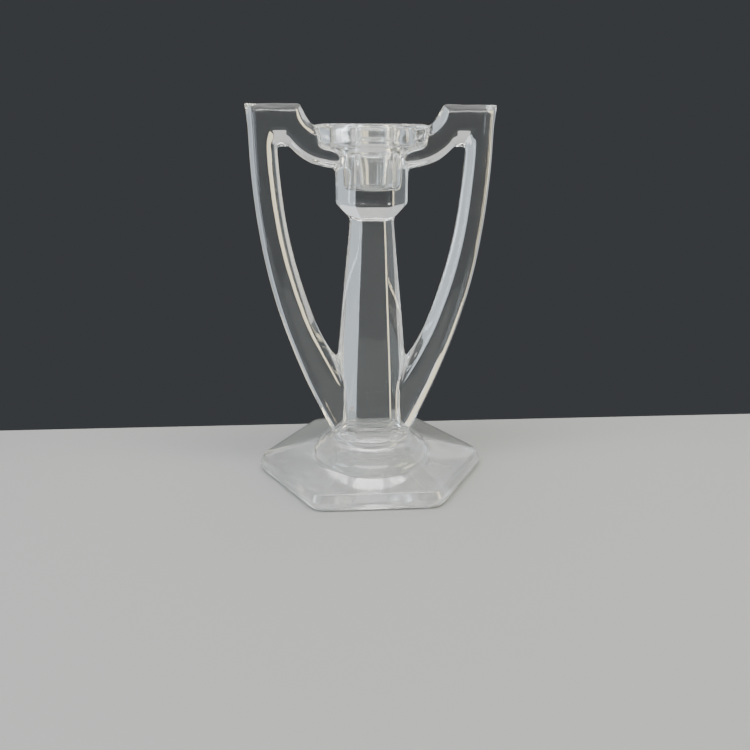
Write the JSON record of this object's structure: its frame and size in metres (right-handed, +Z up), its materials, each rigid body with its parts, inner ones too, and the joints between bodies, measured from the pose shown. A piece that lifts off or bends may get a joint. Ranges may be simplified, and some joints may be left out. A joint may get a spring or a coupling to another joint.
{
  "type": "trophy-shaped glass candlestick",
  "caption": "Clear pressed-glass candlestick in trophy form: hexagonal foot, tapered column and flared candle cup between tall square-shouldered strap handles.",
  "frame": {"origin": "middle of the resting face, on the surface that the candlestick stands on", "axes": "+Z up along the column, X through both handles, -Y the front"},
  "size_m": [0.114, 0.1004, 0.1778],
  "materials": {
    "clear_glass": "Fire-polished clear pressed glass with a very faint grey-green tint, softly rounded edges and a slightly wavy surface."
  },
  "bodies": {
    "root": {"foot": "clear_glass", "neck": "clear_glass", "column": "clear_glass", "candle_cup": "clear_glass", "drip_rim": "clear_glass", "left_handle_arm": "clear_glass", "left_handle_leg": "clear_glass", "right_handle_arm": "clear_glass", "right_handle_leg": "clear_glass"}
  },
  "joints": []
}
